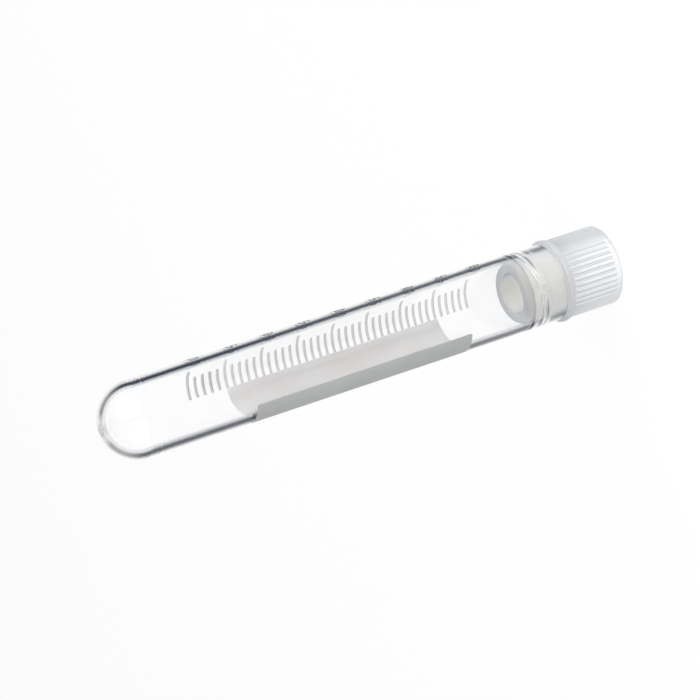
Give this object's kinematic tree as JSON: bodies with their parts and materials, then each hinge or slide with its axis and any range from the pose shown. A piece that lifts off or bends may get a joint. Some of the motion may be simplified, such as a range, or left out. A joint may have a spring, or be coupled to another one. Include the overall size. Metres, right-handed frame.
{
  "type": "cryovial",
  "caption": "Round-bottomed screw-cap cryovial standing on its cap's head, with a printed scale, a writing panel, an internal thread and a sealing ring.",
  "frame": {"origin": "centre of the rim of the cap's head, which the vial stands on", "axes": "+Z along the vial from the cap to the round tip, -Y towards the side between the panel and the scale's front"},
  "size_m": [0.0136, 0.0136, 0.09],
  "materials": {
    "clear_plastic": "clear, glossy",
    "panel_ink": "matt printed field",
    "scale_ink": "matt printed lines",
    "soft_seal": "soft, translucent",
    "cap_plastic": "translucent, satin"
  },
  "bodies": {
    "cap": {"screw_cap": "cap_plastic"},
    "seal": {"sealing_ring": "soft_seal"},
    "vial": {"vial": "clear_plastic", "writing_panel": "panel_ink", "scale_marks": "scale_ink"}
  },
  "joints": [
    {"name": "vial_turn", "type": "hinge", "parent": "cap", "child": "seal", "pos_m": [0, 0, 0.0101], "axis": [0, 0, 1], "range_deg": [0, 1800]},
    {"name": "vial_lift", "type": "slide", "parent": "seal", "child": "vial", "axis": [0, 0, 1], "range_m": [0, 0.0115]}
  ],
  "couplings": [
    {"joint": "vial_lift", "follows": "vial_turn", "m_per_rad": 0.00036606}
  ]
}
